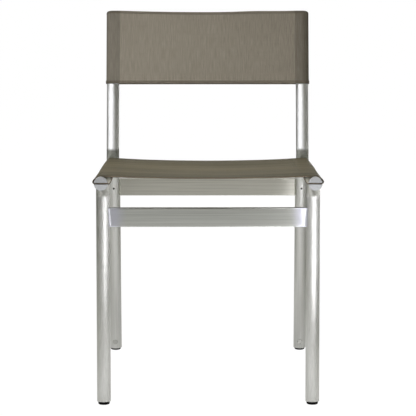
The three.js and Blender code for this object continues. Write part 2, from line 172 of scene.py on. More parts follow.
def newMaterial(name):
    material = bpy.data.materials.new(name)
    material.use_nodes = True
    material.node_tree.nodes.clear()
    paint = Tree(material.node_tree)
    shader = paint.node("ShaderNodeBsdfPrincipled")
    paint.end = paint.node("ShaderNodeOutputMaterial", {}, {"Surface": shader.outputs[0]})
    return material, paint, shader


def rgb(r, g, b):  # sRGB 0 to 255 as a linear colour
    def linear(v):
        v /= 255
        return v / 12.92 if v <= 0.04045 else ((v + 0.055) / 1.055) ** 2.4
    return (linear(r), linear(g), linear(b), 1)


# Metal, drawn along its length and ground by hand at the welds
def brushedMetal(name, settings):
    material, paint, shader = newMaterial(name)
    place = paint.value("ShaderNodeTexCoord", output="Object")
    lines = paint.value("ShaderNodeTexNoise", {}, {
        "Vector": paint.stretched(place, settings["stretch"], settings["turn"]),
        "Scale": 1.0, "Detail": 3.0, "Roughness": 0.6,
    })
    cloud = paint.value("ShaderNodeTexNoise", {}, {
        "Vector": place, "Scale": 14.0, "Detail": 4.0, "Roughness": 0.55,
    })
    mottle = paint.value("ShaderNodeTexNoise", {}, {
        "Vector": place, "Scale": 230.0, "Detail": 4.0, "Roughness": 0.7, "Distortion": 0.6,
    })
    ground, hollow = groundShare(paint, place, settings)
    drawn = paint.mixed(lines, rgb(*settings["dark"]), rgb(*settings["light"]))
    dulled = paint.mixed(mottle, rgb(*settings["groundDark"]), rgb(*settings["groundLight"]))
    feed(shader.inputs["Base Color"], paint.mixed(ground, drawn, dulled))
    smooth = (lines - 0.5 + (cloud - 0.5)) * settings["uneven"] + settings["rough"]
    rough = (mottle - 0.5) * settings["groundUneven"] + settings["groundRough"]
    feed(shader.inputs["Roughness"], smooth * (1 - ground) + rough * ground)
    feed(shader.inputs["Metallic"], 1 - ground * (1 - settings["groundMetal"]))
    shader.inputs["Anisotropic"].default_value = settings["drawn"]
    shader.inputs["Anisotropic Rotation"].default_value = settings["drawnTurn"]
    grain = paint.node("ShaderNodeBump", {}, {
        "Strength": settings["grain"], "Distance": settings["grainDepth"], "Height": lines,
    })
    pits = mottle * ground * settings["groundPits"]
    worked = paint.node("ShaderNodeBump", {}, {
        "Strength": 1.0, "Distance": 1.0, "Height": pits - hollow ** 2 * settings["groundDish"],
        "Normal": grain.outputs[0],
    })
    feed(shader.inputs["Normal"], worked.outputs[0])
    return material


def groundShare(paint, place, settings):  # how far a spot is ground, and how far it is past the start
    axis, start, end = settings["ground"]
    axes = paint.axes(place)
    wander = paint.value("ShaderNodeTexNoise", {}, {"Vector": place, "Scale": 60.0, "Detail": 2.0})
    along = axes[axis]
    if axis == 0:  # both ends of the front bar, on a slant
        along = along.maths("ABSOLUTE") + (axes[2] - chair["barMiddle"]) * settings["groundSlant"]
    along = along + (wander - 0.5) * settings["groundWander"]
    share = paint.ranged(along, start, end, 0.0, 1.0, "SMOOTHSTEP")
    return share, (along - start).maths("MAXIMUM", 0.0)


# A ground stretch is an axis, the place where it starts and the place where it is full
groundNowhere = (2, 5, 6)
groundAllOver = (2, -6, -5)
tubeFinish = {
    "stretch": (420, 420, 4),  # the lines across the tube and along it
    "rough": 0.36,
    "uneven": 0.07,
    "grain": 0.08,
    "grainDepth": 0.00004,
    "drawn": 1.0,  # drawn metal spreads light across its lines
    "drawnTurn": 0,
    "dark": (200, 200, 196),
    "light": (248, 248, 245),
    "groundRough": 0.66,
    "groundUneven": 0.3,
    "groundDark": (122, 122, 112),
    "groundLight": (196, 196, 188),
    "groundWander": 0.004,  # how far its border strays
    "groundMetal": 1.0,
    "groundDish": 0.0,
    "groundPits": 0.0003,
}
barFinish = {
    **tubeFinish, "stretch": (4, 480, 480), "turn": (0, 0, 0), "drawnTurn": 0.25,
    "uneven": 0.03, "grain": 0.03, "dark": (190, 192, 186), "light": (252, 253, 249),
    "ground": (0, 0.162, 0.192), "groundSlant": 0.13, "groundWander": 0.006, "groundRough": 0.36,
    # painted highlight: the front bar's ground ends are real ground metal, painted lighter and lilac as the
    # lamp's highlight on them
    "groundDark": (222, 223, 235), "groundLight": (238, 238, 250),
    "groundDish": 0.4, "groundPits": 0.00005,
}
railFinish = {
    **tubeFinish, "stretch": (900, 6, 900), "turn": (math.radians(chair["railSlope"]), 0, 0),
    "rough": 0.4, "drawn": 0.0, "ground": (1, -0.2648, -0.2654), "groundWander": 0.0, "groundRough": 0.9,
    "groundDark": (152, 153, 154), "groundLight": (196, 197, 198), "groundMetal": 0.4,
}
# painted shade: the lower rail's drawn metal is darker than the clamp bar's, standing for the shade between
# the sling, the rail and the legs; its cut front face is a lighter grey than the clamp bar's
railPaintedShadeFinish = {
    **railFinish, "dark": (140, 140, 132), "light": (196, 196, 187),
    "groundDark": (170, 171, 173), "groundLight": (212, 213, 215),
}
# painted highlight and shade: the welds at the front bar are painted light and lilac as the lamp's highlight,
# those at the rear bar darker and greener as shade; both are the same ground metal
weldPaintedHighlightFinish = {
    **tubeFinish, "turn": (0, 0, 0), "rough": 0.4, "drawn": 0.0, "ground": groundAllOver,
    "groundRough": 0.52, "groundDark": (176, 177, 182), "groundLight": (218, 218, 224),
}
rearWeldPaintedShadeFinish = {**weldPaintedHighlightFinish, "groundDark": (152, 152, 140), "groundLight": (196, 196, 184)}
screwFinish = {
    **tubeFinish, "stretch": (500, 500, 500), "turn": (0, 0, 0), "rough": 0.34, "drawn": 0.0,
    "dark": (120, 122, 124), "light": (150, 152, 154), "ground": groundNowhere,
}
pinFinish = {**screwFinish, "dark": (186, 186, 181), "light": (206, 206, 201), "rough": 0.46}


# Black plastic of the glides and caps
def moulded(name, settings):
    material, paint, shader = newMaterial(name)
    place = paint.value("ShaderNodeTexCoord", output="Object")
    grain = paint.value("ShaderNodeTexNoise", {}, {"Vector": place, "Scale": 2500.0, "Detail": 2.0})
    scuff = paint.value("ShaderNodeTexNoise", {}, {"Vector": place, "Scale": 260.0, "Detail": 5.0})
    wear = paint.ranged(scuff, *settings["scuffs"], 0.0, settings["wear"])
    colour = paint.mixed(wear, rgb(*settings["colour"]), rgb(*settings["worn"]))
    feed(shader.inputs["Base Color"], colour)
    feed(shader.inputs["Roughness"], (grain + scuff) * settings["uneven"] + settings["rough"])
    shader.inputs["Specular IOR Level"].default_value = settings["gloss"]
    bump = paint.node("ShaderNodeBump", {}, {
        "Strength": 0.4, "Distance": settings["grainDepth"], "Height": grain,
    })
    feed(shader.inputs["Normal"], bump.outputs[0])
    return material


glideFinish = {
    "colour": (12, 12, 12), "worn": (30, 29, 28), "rough": 0.7, "gloss": 0.1,
    "uneven": 0.2, "grainDepth": 0.0001, "scuffs": (0.55, 0.75), "wear": 0.5,
}
capFinish = {**glideFinish, "colour": (28, 28, 29), "worn": (44, 44, 44), "rough": 0.38, "gloss": 0.5}


# Twisted thread of the stitches, the hem and the sleeves' edge cords
def threadMaterial(name, settings):
    material, paint, shader = newMaterial(name)
    place = paint.value("ShaderNodeTexCoord", output="Object")
    twist = paint.value("ShaderNodeTexWave", {"bands_direction": "DIAGONAL"}, {
        "Vector": place, "Scale": 900.0, "Distortion": 2.0,
    })
    colour = paint.mixed(twist, rgb(*settings["dark"]), rgb(*settings["light"]))
    feed(shader.inputs["Base Color"], colour)
    shader.inputs["Roughness"].default_value = 0.55
    bump = paint.node("ShaderNodeBump", {}, {
        "Strength": 0.5, "Distance": settings["twistDepth"], "Height": twist,
    })
    feed(shader.inputs["Normal"], bump.outputs[0])
    return material


threadFinish = {"dark": (84, 79, 68), "light": (116, 110, 97), "twistDepth": 0.0001}

materials = {
    "frontLeg": brushedMetal("tubeMetalFront", {
        **tubeFinish, "turn": (math.radians(chair["frontLegLean"]), 0, 0), "ground": (2, 0.421, 0.427),
        # the ground zone is real ground metal; its lighter colour here is a painted reflection of the lit
        # floor
        "groundDark": (168, 168, 160), "groundLight": (226, 226, 220),
    }),
    "rearLeg": brushedMetal("tubeMetalRear", {
        **tubeFinish, "turn": (math.radians(-chair["rearLegLean"]), 0, 0), "ground": (2, 0.408, 0.416),
    }),
    "upright": brushedMetal("tubeMetalBack", {
        **tubeFinish, "turn": (math.radians(chair["uprightLean"]), 0, 0), "ground": (2, 0.4753, 0.4673),
        # the ground zone is real ground metal; its dark colour here is painted shade, standing for the seat
        # and the dark ceiling that it reflects
        "groundDark": (96, 98, 88), "groundLight": (190, 190, 181),
    }),
    "clamp": brushedMetal("clampMetal", railFinish),
    "rail": brushedMetal("railMetalPaintedShade", railPaintedShadeFinish),
    "frontBar": brushedMetal("barMetalFront", barFinish),
    # painted shade: the rear bar is the front bar's drawn metal, painted a little darker and warmer
    "rearBar": brushedMetal("barMetalRearPaintedShade", {
        **barFinish, "ground": groundNowhere, "dark": (184, 182, 172), "light": (248, 246, 237),
    }),
    "weld": brushedMetal("weldMetalPaintedHighlight", weldPaintedHighlightFinish),
    "rearWeld": brushedMetal("rearWeldMetalPaintedShade", rearWeldPaintedShadeFinish),
    "screw": brushedMetal("screwSteel", screwFinish),
    "barScrew": brushedMetal("barScrewSteel", {**screwFinish, "dark": (56, 56, 52), "light": (84, 84, 79)}),
    "pin": brushedMetal("pinMetal", pinFinish),
    "glide": moulded("glidePlastic", glideFinish),
    "cap": moulded("capPlastic", capFinish),
    "thread": threadMaterial("sewingThread", threadFinish),
    "hem": threadMaterial("seatHem", {**threadFinish, "dark": (90, 80, 64), "light": (116, 104, 86)}),
    # painted shade: the sleeves' edge cord is dark, standing for the cloth's edge and the shade along it
    "edgeCords": threadMaterial("sleeveEdgeCord", {**threadFinish, "dark": (66, 56, 44), "light": (96, 84, 68)}),
}
print("metal, plastic and thread made")


# Metal and plastic pieces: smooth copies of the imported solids
smoothing = {"merge": 1e-6, "sharp": 32}  # metres, degrees


def link(piece):
    scene.collection.objects.link(piece)
    return piece


def smoothCopy(nodeName, pieceName, material):
    mesh = nodes[nodeName].data.copy()
    shape = bmesh.new()
    shape.from_mesh(mesh)
    bmesh.ops.remove_doubles(shape, verts=shape.verts, dist=smoothing["merge"])
    bmesh.ops.recalc_face_normals(shape, faces=shape.faces)
    shape.to_mesh(mesh)
    shape.free()
    for extra in ("custom_normal", "sharp_edge", "sharp_face"):
        if extra in mesh.attributes:
            mesh.attributes.remove(mesh.attributes[extra])
    mesh.materials.clear()
    mesh.materials.append(materials[material])
    mesh.shade_smooth()
    mesh.set_sharp_from_angle(angle=math.radians(smoothing["sharp"]))
    piece = link(bpy.data.objects.new(pieceName, mesh))
    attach(piece, "root")
    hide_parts(nodeName)


for side in ("left", "right"):
    smoothCopy(f"seat_rail_{side}", f"rail_{side}", "rail")
    smoothCopy(f"clamp_bar_{side}", f"clamp_{side}", "clamp")
    smoothCopy(f"front_leg_{side}", f"frontLeg_{side}", "frontLeg")
    smoothCopy(f"rear_leg_{side}", f"rearLeg_{side}", "rearLeg")
    smoothCopy(f"back_upright_{side}", f"upright_{side}", "upright")
    smoothCopy(f"upright_cap_{side}", f"cap_{side}", "cap")
    smoothCopy(f"rear_bar_screw_{side}", f"barScrew_{side}", "barScrew")
    smoothCopy(f"rear_glide_pin_{side}", f"glidePin_{side}", "pin")
    for end in ("front", "rear"):
        smoothCopy(f"{end}_glide_{side}", f"{end}Glide_{side}", "glide")
    for number in (1, 2, 3):
        smoothCopy(f"clamp_screw_{side}_{number}", f"clampScrew_{side}_{number}", "screw")
for end in ("front", "rear"):
    smoothCopy(f"{end}_bar", f"{end}Bar", f"{end}Bar")


# Welds between the bars and the legs, ground hollow
welds = {
    "front_bar": {"radius": 0.0065, "lean": chair["frontLegLean"], "material": "weld"},
    "rear_bar": {"radius": 0.005, "lean": -chair["rearLegLean"], "material": "rearWeld"},
    "ends": 0.0016,  # short of the bar's edges
    "arcSteps": 12,
    "rows": 14,
    "sunk": 0.0004,  # into the bar and the leg
    "sharp": 40,
}


def weldSection(deep, radius):  # x towards the middle, y outwards; both from the leg's axis
    tube, sunk = chair["tube"], welds["sunk"]
    middle = Vector((math.sqrt((tube + radius) ** 2 - (deep + radius) ** 2), deep + radius))
    first = math.atan2(-middle.y, -middle.x)
    last = -math.pi / 2
    points = []
    for i in range(welds["arcSteps"] + 1):
        angle = first + (last - first) * i / welds["arcSteps"]
        points.append(middle + radius * Vector((math.cos(angle), math.sin(angle))))
    inBar = points[-1] - Vector((0, sunk))
    inCorner = Vector((math.sqrt((tube - sunk) ** 2 - (deep - sunk) ** 2), deep - sunk))
    inLeg = points[0].normalized() * (tube - sunk)
    return points + [inBar, inCorner, inLeg]


def makeWeld(barName, side, face):
    bar = [nodes[barName].matrix_world @ v.co for v in nodes[barName].data.vertices]
    low, high = min(v.z for v in bar), max(v.z for v in bar)
    front, rear = min(v.y for v in bar), max(v.y for v in bar)
    settings = welds[barName]
    shape = bmesh.new()
    rows = []
    for i in range(welds["rows"] + 1):
        z = low + welds["ends"] + (high - low - 2 * welds["ends"]) * i / welds["rows"]
        axis = (front + rear) / 2 + (z - (low + high) / 2) * math.tan(math.radians(settings["lean"]))
        deep = (axis - front) if face < 0 else (rear - axis)
        section = weldSection(deep, settings["radius"])
        rows.append([shape.verts.new((side * (chair["half"] - p.x), axis + face * p.y, z)) for p in section])
    count = len(rows[0])
    for a, b in zip(rows, rows[1:]):
        for j in range(count):
            k = (j + 1) % count
            shape.faces.new((a[j], a[k], b[k], b[j]))
    shape.faces.new(rows[0])
    shape.faces.new(rows[-1])
    bmesh.ops.triangulate(shape, faces=[f for f in shape.faces if len(f.verts) > 4])
    bmesh.ops.recalc_face_normals(shape, faces=shape.faces)
    name = f"weld_{barName}_{'right' if side > 0 else 'left'}_{'front' if face < 0 else 'rear'}"
    mesh = bpy.data.meshes.new(name)
    shape.to_mesh(mesh)
    shape.free()
    mesh.materials.append(materials[settings["material"]])
    mesh.shade_smooth()
    mesh.set_sharp_from_angle(angle=math.radians(welds["sharp"]))
    piece = link(bpy.data.objects.new(name, mesh))
    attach(piece, "root")


for barName in ("front_bar", "rear_bar"):
    for side in (-1, 1):
        for face in (-1, 1):
            makeWeld(barName, side, face)
print("metal and plastic pieces made")


# Mesh fabric: a plain weave of coated yarn
meshFinish = {
    "softEdge": 0.3,  # share of a yarn's half width
    "round": 0.6,  # rise of a yarn's round top
    "crossing": 0.4,  # rise of a yarn that passes over another
    "yarnDepth": 0.0003,
    "yarnShade": 0.3,
    "base": 0.35,
    "fibreShade": 0.2,
}


def noiseAlong(paint, place, stretch, detail, roughness=0.5):
    return paint.value("ShaderNodeTexNoise", {}, {
        "Vector": paint.stretched(place, stretch), "Scale": 1.0, "Detail": detail, "Roughness": roughness,
    })


def yarns(paint, place, drift, settings):  # numbers of the parallel yarns, where they lie, and their rise
    count = place * (1 / settings["pitch"]) + (drift - 0.5) * settings["drift"]
    away = (count.maths("FRACT") - 0.5).maths("ABSOLUTE")
    half, soft = settings["yarn"] / 2, settings["softEdge"]
    lying = paint.ranged(away, half * (1 - soft), half * (1 + soft), 1.0, 0.0)
    rise = (1 - (away / half) ** 2).maths("MAXIMUM", 0.0) ** 0.5
    return count.maths("FLOOR"), lying, rise * settings["round"]


def weave(paint, place, settings):  # height of the cloth, and where it covers
    across, along = paint.axes(place)[:2]
    warpDrift = noiseAlong(paint, place, (300, 3, 1), 2.0)
    weftDrift = noiseAlong(paint, place, (3, 300, 1), 2.0)
    warpNumber, warp, warpRise = yarns(paint, across, warpDrift, settings)
    weftNumber, weft, weftRise = yarns(paint, along, weftDrift, settings)
    over = ((warpNumber + weftNumber) % 2.0).maths("ABSOLUTE")
    warpTop = warp * (warpRise + over * settings["crossing"])
    weftTop = weft * (weftRise + (1 - over) * settings["crossing"])
    return warpTop.maths("MAXIMUM", weftTop), warp.maths("MAXIMUM", weft)


# painted shade: the back is darker where it lies on the uprights, standing for the shaded tube seen through
# the mesh
def paintedShadeOverTubes(paint, across, dyed, settings):  # darker where the fabric lies on the tubes
    middle, every, reach = settings["tubes"]
    soft = settings["tubesSoft"]
    away = ((across - middle + every / 2) % every - every / 2).maths("ABSOLUTE")
    share = paint.ranged(away, reach - soft, reach + soft, settings["tubesPaintedShade"], 0.0)
    return paint.mixed(share, dyed, rgb(0, 0, 0))


# the seat cloth is darker in a narrow band just behind its front edge
def darkFrontBand(paint, along, dyed, settings):
    start, end, share = settings["rim"]
    rim = paint.ranged(along, start, end, share, 0.0)
    return paint.mixed(rim, dyed, rgb(*settings["rimColour"]))


def paintedGlowInSleeve(paint, across, along, paintedGlow):  # painted light: the sleeve's lower layer glows near its open end, in place of light inside the sleeve
    away = (across - paintedGlow["middle"]).maths("ABSOLUTE")
    share = paint.ranged(away, paintedGlow["start"], paintedGlow["start"] + paintedGlow["startSoft"], 0.0, 1.0)
    share = share * paint.ranged(away, paintedGlow["end"], paintedGlow["end"] + paintedGlow["endSoft"], 1.0, 0.0)
    share = share * paint.ranged(along, paintedGlow["near"], paintedGlow["near"] + paintedGlow["nearSoft"], 0.0, 1.0)
    share = share * paint.ranged(along, paintedGlow["far"] / 2, paintedGlow["far"], 1.0, 0.0)
    return paint.mixed(share, rgb(0, 0, 0), rgb(*paintedGlow["colour"]))


def meshFabric(name, settings):
    material, paint, shader = newMaterial(name)
    place = paint.value("ShaderNodeUVMap", {"uv_map": "cloth"})
    across, along = paint.axes(place)[:2]
    height, cover = weave(paint, place, settings)
    tone = height * settings["yarnShade"] + settings["base"]
    # painted sheen and shade: the seat's tone peaks part way along its depth, where its sag catches the
    # light, and the back darkens to the right, away from the light; across the seat and up the back the tone
    # only falls off away from a given line
    for item, (middle, width, share) in zip((across, along), settings["sheen"]):  # lighter in the middle
        tone = tone - ((item - middle) / width) ** 2 * share
    for stretch, share in settings["streaks"]:
        tone = tone + (noiseAlong(paint, place, stretch, 3.0, 0.55) - 0.5) * share
    fibre = paint.value("ShaderNodeTexNoise", {}, {"Vector": place, "Scale": 900.0, "Detail": 2.0})
    tone = tone + (fibre - 0.5) * settings["fibreShade"]
    if "double" in settings:  # two layers at the lower and the upper hem, open mesh between them
        low, high, edge = settings["double"]
        lower = paint.ranged(along, low, low + edge, 1.0, 0.0)
        upper = paint.ranged(along, high - edge, high, 0.0, 1.0)
        # painted shade: the hems are darker where the cloth lies double, standing for the shaded inner layer
        tone = tone - lower * settings["lowerHemPaintedShade"] - upper * settings["upperHemPaintedShade"]
        shown = cover * (1 - settings["shut"]) + settings["shut"]
        feed(shader.inputs["Alpha"], shown.maths("MAXIMUM", lower.maths("MAXIMUM", upper)))
    dyed = paint.mixed(tone.maths("ADD", 0.0, clamp=True), rgb(*settings["dark"]), rgb(*settings["light"]))
    if "tubes" in settings:
        dyed = paintedShadeOverTubes(paint, across, dyed, settings)
    if "rim" in settings:
        dyed = darkFrontBand(paint, along, dyed, settings)
    # painted light: an emission glow inside the seat's sleeves
    if "paintedGlow" in settings:
        feed(shader.inputs["Emission Color"], paintedGlowInSleeve(paint, across, along, settings["paintedGlow"]))
        shader.inputs["Emission Strength"].default_value = 1.0
    feed(shader.inputs["Base Color"], dyed)
    feed(shader.inputs["Roughness"], fibre * settings["fibreShade"] + settings["rough"])
    shader.inputs["Specular IOR Level"].default_value = settings["gloss"]
    bump = paint.node("ShaderNodeBump", {}, {
        "Strength": 0.6, "Distance": settings["yarnDepth"], "Height": height,
    })
    feed(shader.inputs["Normal"], bump.outputs[0])
    return material


# Cloth: a grid of points, rolled out flat in its UV map
def clothMesh(name, rows, flatRows, material, thickness, closed=False):
    shape = bmesh.new()
    layer = shape.loops.layers.uv.new("cloth")
    points = [[shape.verts.new(p) for p in row] for row in rows]
    count = len(rows[0])
    for i in range(len(rows) - 1):
        for j in range(count if closed else count - 1):
            k = (j + 1) % count
            # row, column of points, column of the flat grid
            corners = ((i, j, j), (i, k, j + 1), (i + 1, k, j + 1), (i + 1, j, j))
            face = shape.faces.new([points[row][column] for row, column, flatColumn in corners])
            for loop, (row, column, flatColumn) in zip(face.loops, corners):
                loop[layer].uv = flatRows[row][flatColumn]
    bmesh.ops.remove_doubles(shape, verts=shape.verts, dist=smoothing["merge"])
    bmesh.ops.recalc_face_normals(shape, faces=shape.faces)
    mesh = bpy.data.meshes.new(name)
    shape.to_mesh(mesh)
    shape.free()
    mesh.materials.append(material)
    mesh.shade_smooth()
    piece = link(bpy.data.objects.new(name, mesh))
    wall = piece.modifiers.new("wall", "SOLIDIFY")
    wall.thickness = thickness
    wall.offset = 0
    settle(piece)
    return piece


def settle(piece):  # modifiers become plain mesh
    graph = bpy.context.evaluated_depsgraph_get()
    graph.update()
    made = bpy.data.meshes.new_from_object(piece.evaluated_get(graph), depsgraph=graph)
    piece.modifiers.clear()
    piece.data = made


def lengths(points):  # running length of a line of points
    total = [0.0]
    for a, b in zip(points, points[1:]):
        total.append(total[-1] + (Vector(b) - Vector(a)).length)
    return total


def shares(count, first=0):  # even steps from 0 to 1
    return [i / count for i in range(first, count + 1)]


# Seat sling: sleeve, panel and sleeve in one strip, drawn at the seat frame's x and z
seat = {
    "front": 0.0022,
    "depth": 0.412,
    "wall": 0.00105,
    "gap": 0.00035,
    "layer": 0.0012,
    "slit": 0.0034,
    "low": -0.0004,  # the layer inside the slit
    "inner": 0.0162,  # where it leaves the slit, from the rail's axis inwards
    "seam": 0.0238,
    "underShare": 0.95,  # of a layer, from the panel down to the layer under it
    "riseBend": 1.3,
    "bulge": 0.002,  # how far the open end stands off the rail
    "shoulder": 0.0042,
    "loose": 0.3,  # the bulge is drawn in over this share of the depth
    "drawn": 0.9,  # share of the bulge that is drawn in
    "sagFront": 0.003,
    "sagMiddle": 0.006,
    "sagRear": 0.0053,
    "crease": 0.00028,
    "creaseFade": 2.5,
    # each crease's height, turns along and start, then its bend, turns across and start
    "creases": (
        (1, 21, 0, 0.6, 9, math.pi / 2),
        (0.6, 43, 1.7, 0.8, 7, 1),
        (0.35, 77, 0.4, 1.1, 12, math.pi / 2),
    ),
    "flap": 0.011,
    "slitTurn": 2.1,  # the round part ends at this many times the slit's half angle
    "roundSteps": 20,
    "turnSteps": 6,
    "slitSteps": 6,
    "riseSteps": 10,
    "flapSteps": 3,
    "panelSteps": 72,
    "depthSteps": 96,
    "stitchEnds": 0.003,
    "stitchSteps": 80,
    "stitchRows": (0.0025, 0.0085),  # from the seam inwards
    "stitchUnder": -0.0018,
}
seatTop = chair["tube"] + seat["gap"] + seat["layer"] / 2
seatFinish = {
    **meshFinish, "pitch": 0.0013, "yarn": 0.74, "drift": 0.5, "rough": 0.5, "gloss": 0.2,
    "dark": (95, 88, 68), "light": (143, 133, 106),
    "streaks": (((1.2, 13, 1), 1.3), ((2.2, 30, 1), 1.3), ((7, 230, 1), 0.5)),
    "sheenAcross": (0.2, 0.12), "sheenAlong": (0.24, 0.2, 0.4),
    "rim": (seat["front"] + 0.0004, seat["front"] + 0.0013, 0.8), "rimColour": (64, 56, 42),
}
seatPaintedGlow = {
    "colour": (160, 158, 148), "fromSlit": 0.026, "fromFlap": 0.001, "startSoft": 0.002, "endSoft": 0.001,
    "near": seat["front"] + 0.0002, "nearSoft": 0.0008, "far": 0.12,
}


def sagShare(x):
    return max(0.0, 1 - (x / (chair["half"] - chair["tube"])) ** 2)


def sleeveLine():  # the right sleeve, from the panel over the top and back to the seam
    radius, low, inner, seam = seatTop, seat["low"], -seat["inner"], -seat["seam"]
    last = math.asin(seat["slit"] / 2 / chair["tube"]) * seat["slitTurn"]
    points = []
    for share in shares(seat["roundSteps"]):
        angle = math.pi / 2 + (last - math.pi / 2) * share
        swell = seat["bulge"] * max(0, math.cos(angle)) ** 2
        points.append(((radius + swell) * math.cos(angle), radius * math.sin(angle)))
    cornerX, cornerZ = points[-1]
    drop = cornerZ - low
    for share in shares(seat["turnSteps"], 1):
        angle = share * math.pi / 2
        points.append((cornerX - drop * (1 - math.cos(angle)), cornerZ - drop * math.sin(angle)))
    for share in shares(seat["slitSteps"], 1):
        points.append((cornerX - drop + (inner - cornerX + drop) * share, low))
    under = radius - seat["layer"] * seat["underShare"]
    for share in shares(seat["riseSteps"], 1):
        points.append((inner + (seam - inner) * share, low + (under - low) * share ** seat["riseBend"]))
    for share in shares(seat["flapSteps"], 1):
        points.append((seam - seat["flap"] * share, under))
    return points


def seatSag(share):
    ends = seat["sagFront"] * (1 - share) + seat["sagRear"] * share
    return ends + (seat["sagMiddle"] - (seat["sagFront"] + seat["sagRear"]) / 2) * 4 * share * (1 - share)


def tension(x, share):  # long shallow creases from rail to rail
    waves = 0
    for height, along, start, bend, across, turn in seat["creases"]:
        waves += height * math.sin(share * along + start + bend * math.sin(x * across + turn))
    return seat["crease"] * waves * min(1.0, sagShare(x) * seat["creaseFade"])


def seatPoint(x, z, y):
    share = (y - seat["front"]) / seat["depth"]
    half = chair["half"]
    widest = chair["tube"] + seat["gap"] + seat["bulge"]
    off, up = max(0, abs(x) - half), max(0, z)
    drawn = seat["bulge"] * seat["drawn"] * min(1, share / seat["loose"]) * min(1, off / widest) ** 3
    reach = math.hypot(off, up)
    if reach > 0:  # the sleeve swells above its shoulder towards the rear
        swell = seat["shoulder"] * share ** 2 * (2 * off * up / reach ** 2) ** 2
        drawn -= swell * off / reach
        z += swell * up / reach
    sag = seatSag(share) * sagShare(x) + tension(x, share)
    return seatPlace @ Vector((x - math.copysign(drawn, x), y, z - sag))


def seatSection():
    half, steps = chair["half"], seat["panelSteps"]
    right = [(half + x, z) for x, z in sleeveLine()]
    panel = [(-half + 2 * half * i / steps, seatTop) for i in range(1, steps)]
    left = [(-x, z) for x, z in reversed(right)]
    return left + panel + right


def makeSeat():
    section = seatSection()
    across = lengths([(x, z, 0) for x, z in section])
    middle = across[-1] / 2
    inSlit = next(u for u, (x, z) in zip(across, section) if x > 0 and z < seat["slit"] / 2)
    material = meshFabric("seatMesh", {
        **seatFinish, "sheen": ((middle, *seatFinish["sheenAcross"]), seatFinish["sheenAlong"]),
        "paintedGlow": {
            **seatPaintedGlow, "middle": middle, "start": inSlit - middle + seatPaintedGlow["fromSlit"],
            "end": middle - seat["flap"] - seatPaintedGlow["fromFlap"],
        },
    })
    rows, flat = [], []
    for share in shares(seat["depthSteps"]):
        y = seat["front"] + seat["depth"] * share
        rows.append([seatPoint(x, z, y) for x, z in section])
        flat.append([(u, y) for u in across])
    piece = clothMesh("seatSling", rows, flat, material, seat["wall"])
    return piece, across[-1]


# Rows of stitches, laid along a line by Geometry Nodes
def stitchNodes():
    group = bpy.data.node_groups.new("stitchRow", "GeometryNodeTree")
    face = group.interface
    face.new_socket("Path", in_out="INPUT", socket_type="NodeSocketGeometry")
    for name in ("Spacing", "Length", "Radius"):
        face.new_socket(name, in_out="INPUT", socket_type="NodeSocketFloat")
    face.new_socket("Thread", in_out="INPUT", socket_type="NodeSocketMaterial")
    face.new_socket("Stitches", in_out="OUTPUT", socket_type="NodeSocketGeometry")
    tree = Tree(group)
    given = tree.node("NodeGroupInput")
    line = tree.node("GeometryNodeMeshToCurve", {}, {"Mesh": given.outputs["Path"]})
    spaced = tree.node("GeometryNodeResampleCurve", {"mode": "LENGTH"}, {
        "Curve": line.outputs[0], "Length": given.outputs["Spacing"],
    })
    ball = tree.node("GeometryNodeMeshUVSphere", {}, {"Segments": 8, "Rings": 6, "Radius": 1.0})
    size = tree.node("ShaderNodeCombineXYZ", {}, {
        "X": given.outputs["Length"], "Y": given.outputs["Radius"], "Z": given.outputs["Radius"],
    })
    tangent = tree.node("GeometryNodeInputTangent")
    turn = tree.node("FunctionNodeAlignRotationToVector", {"axis": "X"}, {"Vector": tangent.outputs[0]})
    placed = tree.node("GeometryNodeInstanceOnPoints", {}, {
        "Points": spaced.outputs[0], "Instance": ball.outputs[0],
        "Rotation": turn.outputs[0], "Scale": size.outputs[0],
    })
    real = tree.node("GeometryNodeRealizeInstances", {}, {0: placed.outputs[0]})
    smooth = tree.node("GeometryNodeSetShadeSmooth", {}, {0: real.outputs[0]})
    painted = tree.node("GeometryNodeSetMaterial", {}, {
        "Geometry": smooth.outputs[0], "Material": given.outputs["Thread"],
    })
    tree.node("NodeGroupOutput", {}, {0: painted.outputs[0]})
    return group


stitchGroup = stitchNodes()
sewing = {"Spacing": 0.0034, "Length": 0.00135, "Radius": 0.0003, "Thread": materials["thread"]}


def stitches(name, lines):
    mesh = bpy.data.meshes.new(name)
    points, edges = [], []
    for line in lines:
        start = len(points)
        points += [tuple(p) for p in line]
        edges += [(start + i, start + i + 1) for i in range(len(line) - 1)]
    mesh.from_pydata(points, edges, [])
    piece = link(bpy.data.objects.new(name, mesh))
    sew = piece.modifiers.new("sew", "NODES")
    sew.node_group = stitchGroup
    for item in stitchGroup.interface.items_tree:
        if item.in_out == "INPUT" and item.name in sewing:
            sew[item.identifier] = sewing[item.name]
    settle(piece)
    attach(piece, "root")
    return piece


def seatLine(x, lift):  # a line from front to back on the seat, lifted off its top
    line = []
    for share in shares(seat["stitchSteps"]):
        y = seat["front"] + seat["stitchEnds"] + (seat["depth"] - 2 * seat["stitchEnds"]) * share
        line.append(seatPoint(x, seatTop + lift, y))
    return line


# Cords round the open front end of each sleeve, dark as painted shade along the cloth's edge, and the panel's
# thick front hem
edgeCords = {
    "radius": 0.0009,
    "inSlit": 0.0014,
    "hem": 0.0014,
    "hemDrop": 0.0009,  # under the panel's middle layer
    "hemEnd": 0.007,  # short of the rail's axis
    "start": 0.0004,
    "taper": 0.0001,  # more radius at each point, from the start
    "hemTaper": 0.0004,
    "inward": 0.0004,  # behind the seat's front edge
    "sides": 8,
}


def sleeveEdge():  # (x, z, radius) along the right sleeve's open end
    line = []
    for i, (x, z) in enumerate(sleeveLine()[:-seat["flapSteps"]]):
        clamped = z == seat["low"] and x > -chair["tube"]
        full = edgeCords["inSlit"] if clamped else edgeCords["radius"]
        radius = min(full, edgeCords["start"] + edgeCords["taper"] * i)
        line.append((chair["half"] + x, 0 if clamped else z, radius))
    return line


